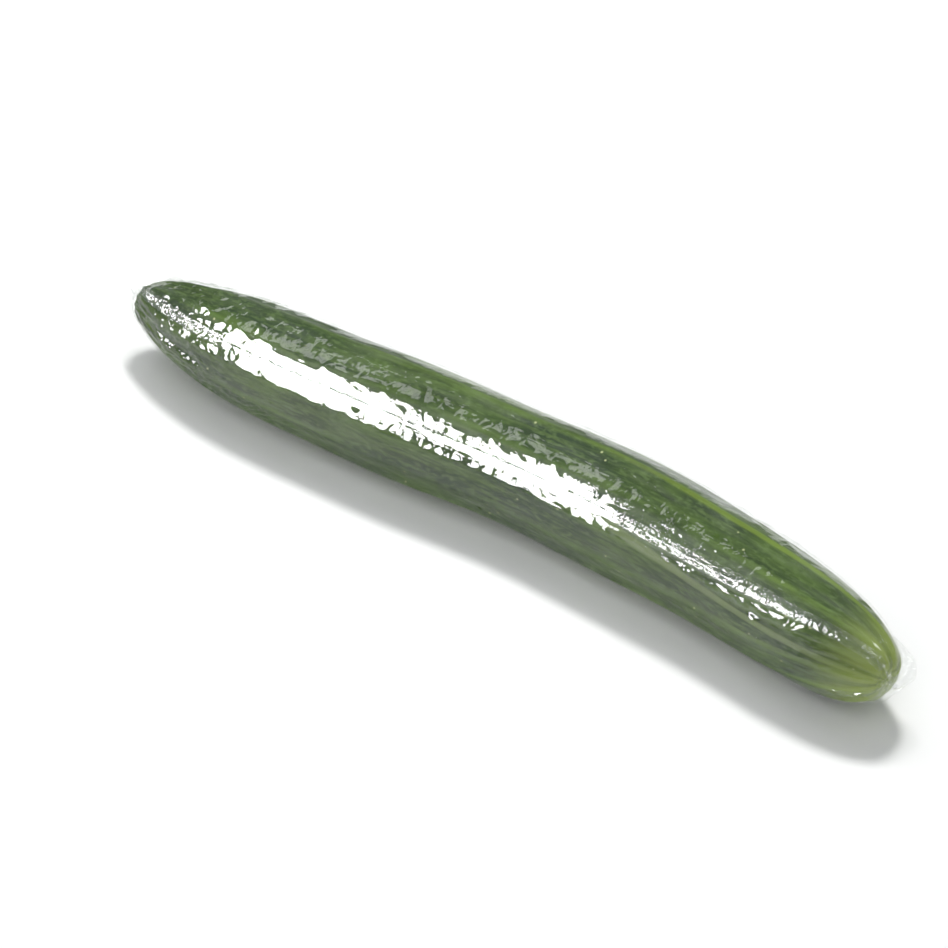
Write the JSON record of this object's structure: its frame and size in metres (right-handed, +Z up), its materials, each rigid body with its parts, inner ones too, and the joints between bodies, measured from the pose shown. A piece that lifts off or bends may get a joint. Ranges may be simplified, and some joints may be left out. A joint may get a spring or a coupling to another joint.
{
  "type": "film-wrapped cucumber",
  "caption": "Long slim green cucumber, gently bent and faintly ribbed, in a clear shrink-film sleeve with a lengthwise lap seam and a flat sealed tail at each end.",
  "frame": {"origin": "middle of the bounding box's underside, on the surface that the film rests on", "axes": "+X runs from the stem end to the blossom end, +Z is up, and the body bows towards +Y"},
  "size_m": [0.35, 0.0558, 0.0432],
  "materials": {
    "cucumber_skin": null,
    "clear_film": "clear glossy polyethylene shrink film, lightly crumpled"
  },
  "bodies": {
    "root": {"cucumber": "cucumber_skin", "film_wrap": "clear_film"}
  },
  "joints": []
}
